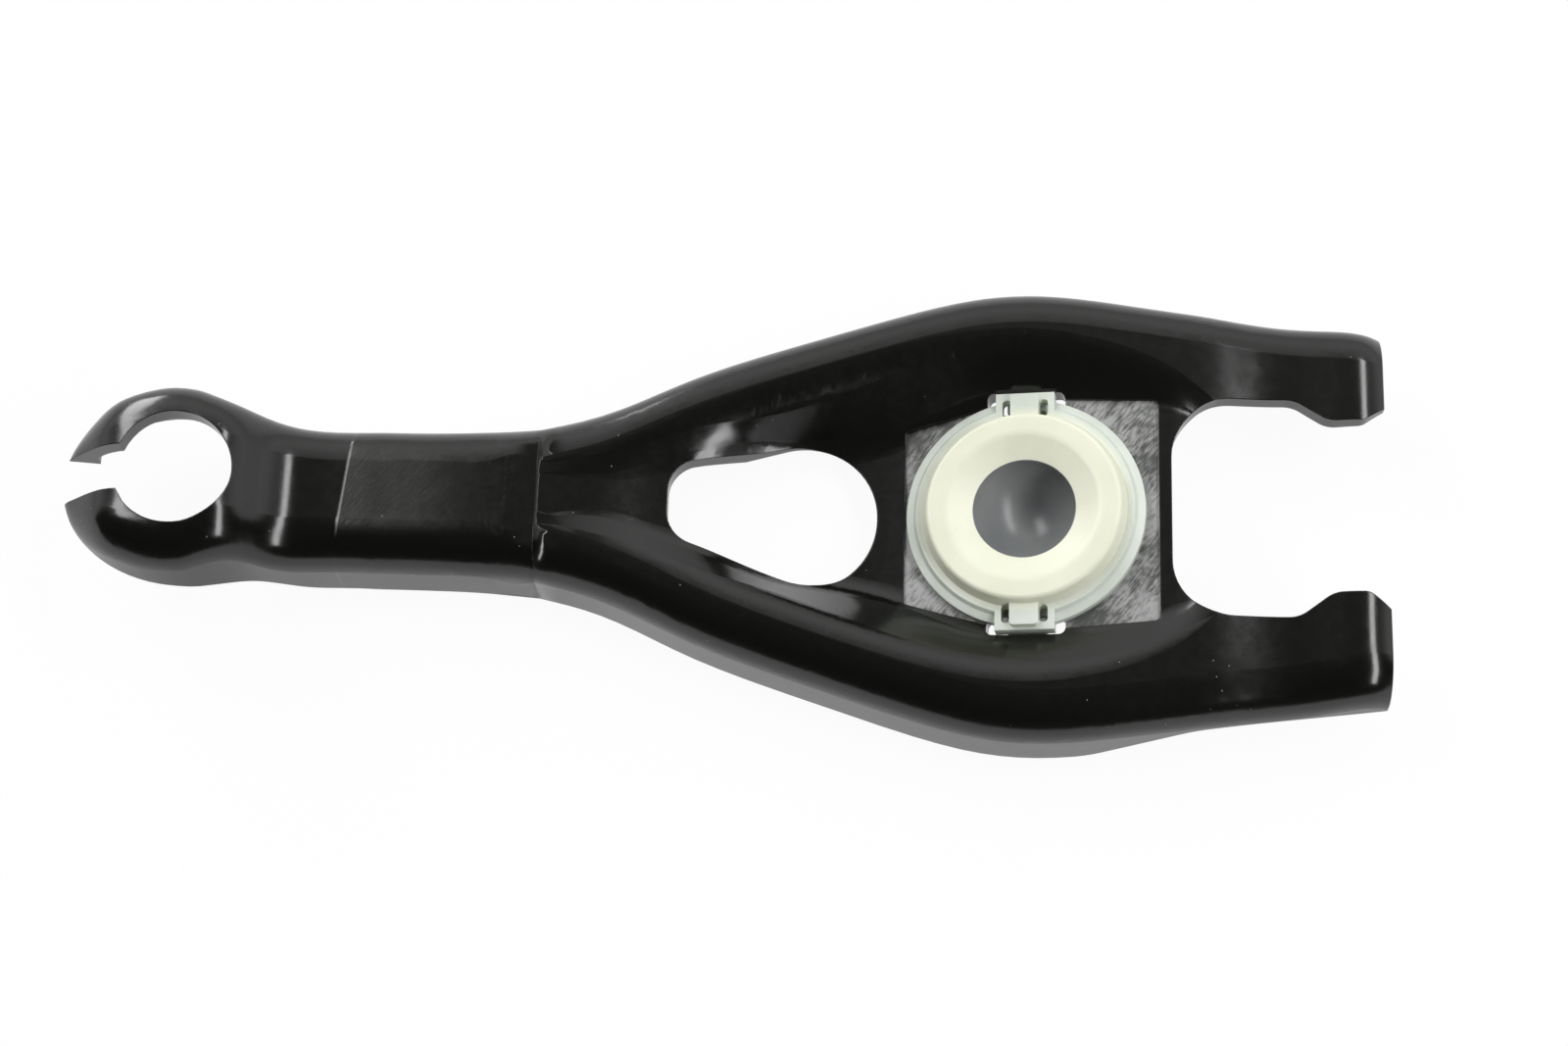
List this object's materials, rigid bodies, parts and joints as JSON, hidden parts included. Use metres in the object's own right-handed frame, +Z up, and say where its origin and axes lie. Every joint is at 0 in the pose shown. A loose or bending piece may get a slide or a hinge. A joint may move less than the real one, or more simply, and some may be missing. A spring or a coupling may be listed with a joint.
{
  "type": "clutch fork",
  "caption": "Pressed steel clutch release fork with an open rod eye, a plastic pivot cup clipped in its pad and two tines.",
  "frame": {"origin": "middle of the fork's length and width, on the plane its folded sides stand on", "axes": "+X from the rod eye towards the tines, +Y across the fork, +Z up, out of the side that carries the pivot cup"},
  "size_m": [0.2303, 0.083, 0.026],
  "materials": {
    "black_coat": "glossy black dip coat",
    "nylon": "natural nylon, satin, slightly translucent"
  },
  "bodies": {
    "root": {"fork_lever": "black_coat", "pivot_cup": "nylon"}
  },
  "joints": []
}
